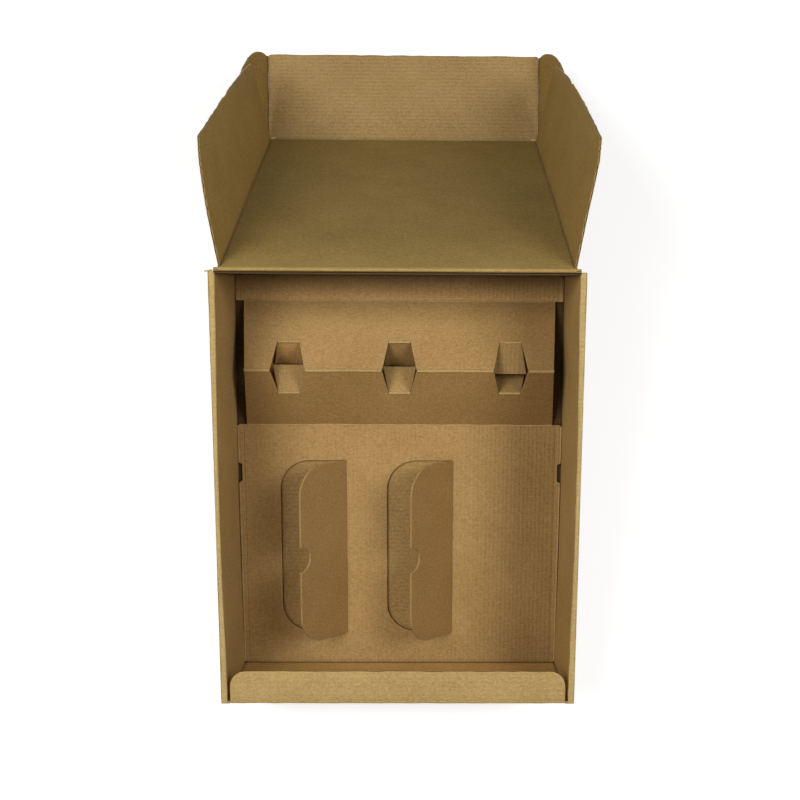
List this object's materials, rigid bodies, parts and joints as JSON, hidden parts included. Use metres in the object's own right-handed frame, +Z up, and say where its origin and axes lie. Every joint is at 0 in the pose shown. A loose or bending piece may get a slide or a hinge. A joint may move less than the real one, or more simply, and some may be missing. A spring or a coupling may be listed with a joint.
{
  "type": "bottle shipping box",
  "caption": "Open corrugated mailer for bottles, with a folded ridge whose windows hold the necks, raised divider flaps, a hinged lid with side and front flaps, and a closing lip",
  "frame": {"origin": "on the floor under the middle of the open box, on the box's middle plane", "axes": "+Z up, +X to the box's right as seen from its open side, +Y from the lower end wall towards the far fold of the lid"},
  "size_m": [0.3057, 0.6092, 0.2563],
  "materials": {
    "board": "matt brown kraft corrugated board",
    "insert_board": "matt brown kraft corrugated board"
  },
  "bodies": {
    "tray": {"tray": "board", "insert": "insert_board"},
    "lid": {"lid": "board"},
    "left_wing": {"left_wing": "board"},
    "right_wing": {"right_wing": "board"},
    "front_flap": {"front_flap": "board"},
    "left_ear": {"left_ear": "board"},
    "right_ear": {"right_ear": "board"},
    "lip": {"lip": "board"}
  },
  "joints": [
    {"name": "lid_hinge", "type": "hinge", "parent": "tray", "child": "lid", "pos_m": [0, -0.00664, 0.21941], "axis": [1, 0, 0], "range_deg": [-23, 247]},
    {"name": "left_wing_fold", "type": "hinge", "parent": "lid", "child": "left_wing", "pos_m": [-0.1277, -0.00664, 0.21941], "axis": [0, 0.7351, -0.678], "range_deg": [-1.01, 10.8]},
    {"name": "right_wing_fold", "type": "hinge", "parent": "lid", "child": "right_wing", "pos_m": [0.1277, -0.00664, 0.21941], "axis": [0, 0.7351, -0.678], "range_deg": [-11.4, 1.06]},
    {"name": "front_flap_fold", "type": "hinge", "parent": "lid", "child": "front_flap", "pos_m": [0, 0.23039, 0.0008], "axis": [1, 0, 0], "range_deg": [-3.43, 36.85]},
    {"name": "left_ear_fold", "type": "hinge", "parent": "front_flap", "child": "left_ear", "pos_m": [-0.12995, 0.23039, 0.0008], "axis": [0, 0.935, 0.3545], "range_deg": [-2.13, 22.9]},
    {"name": "right_ear_fold", "type": "hinge", "parent": "front_flap", "child": "right_ear", "pos_m": [0.12995, 0.23039, 0.0008], "axis": [0, 0.935, 0.3545], "range_deg": [-24.4, 2.27]},
    {"name": "lip_fold", "type": "hinge", "parent": "tray", "child": "lip", "pos_m": [0, -0.30358, 0.08317], "axis": [1, 0, 0], "range_deg": [-8.38, 90]}
  ],
  "couplings": [
    {"joint": "front_flap_fold", "follows": "lid_hinge", "ratio": 0.14919},
    {"joint": "left_wing_fold", "follows": "lid_hinge", "ratio": 0.043725},
    {"joint": "right_wing_fold", "follows": "lid_hinge", "ratio": -0.046154},
    {"joint": "left_ear_fold", "follows": "lid_hinge", "ratio": 0.092713},
    {"joint": "right_ear_fold", "follows": "lid_hinge", "ratio": -0.098785},
    {"joint": "lip_fold", "follows": "lid_hinge", "ratio": 0.36437}
  ]
}
